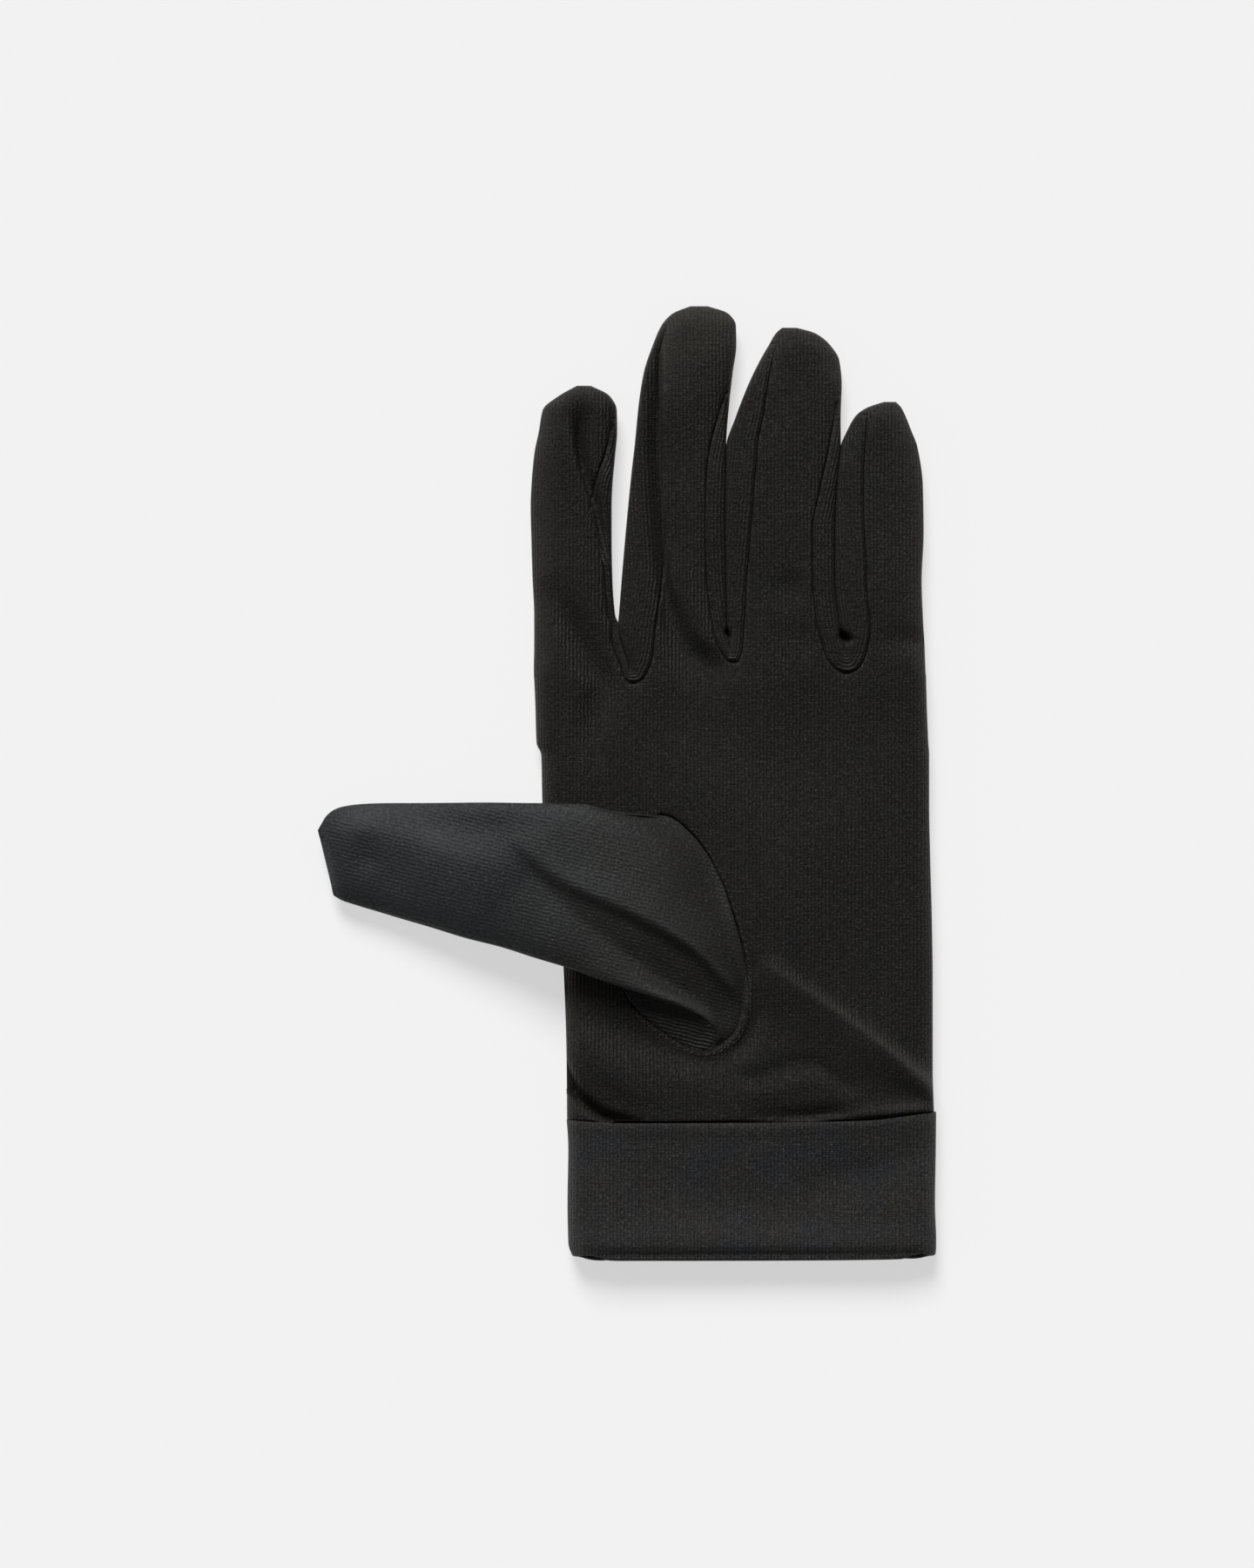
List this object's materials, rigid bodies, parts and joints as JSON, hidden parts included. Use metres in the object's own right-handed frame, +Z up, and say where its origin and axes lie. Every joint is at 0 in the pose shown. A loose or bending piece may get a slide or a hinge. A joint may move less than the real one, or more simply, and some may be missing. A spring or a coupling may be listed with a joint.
{
  "type": "running glove",
  "caption": "Knitted running glove for the left hand, empty and lying flat with the palm up and the thumb laid out to the side, with an open cuff.",
  "frame": {"origin": "middle of the glove's outline, on the surface that it lies on", "axes": "+Y towards the fingertips, +Z up out of the palm, +X towards the little finger's side"},
  "size_m": [0.1578, 0.2438, 0.0185],
  "materials": {
    "hand_knit": "matte brushed stretch knit, warm black",
    "thumb_knit": "matte brushed stretch knit, slightly cooler and lighter black",
    "cuff_knit": "matte brushed stretch knit folded double, charcoal black"
  },
  "bodies": {
    "root": {"palm_panel": "hand_knit", "back_panel": "hand_knit", "fourchette_index_middle": "hand_knit", "fourchette_middle_ring": "hand_knit", "fourchette_ring_little": "hand_knit", "thumb_front_panel": "thumb_knit", "thumb_back_panel": "thumb_knit", "cuff_band": "cuff_knit"}
  },
  "joints": []
}
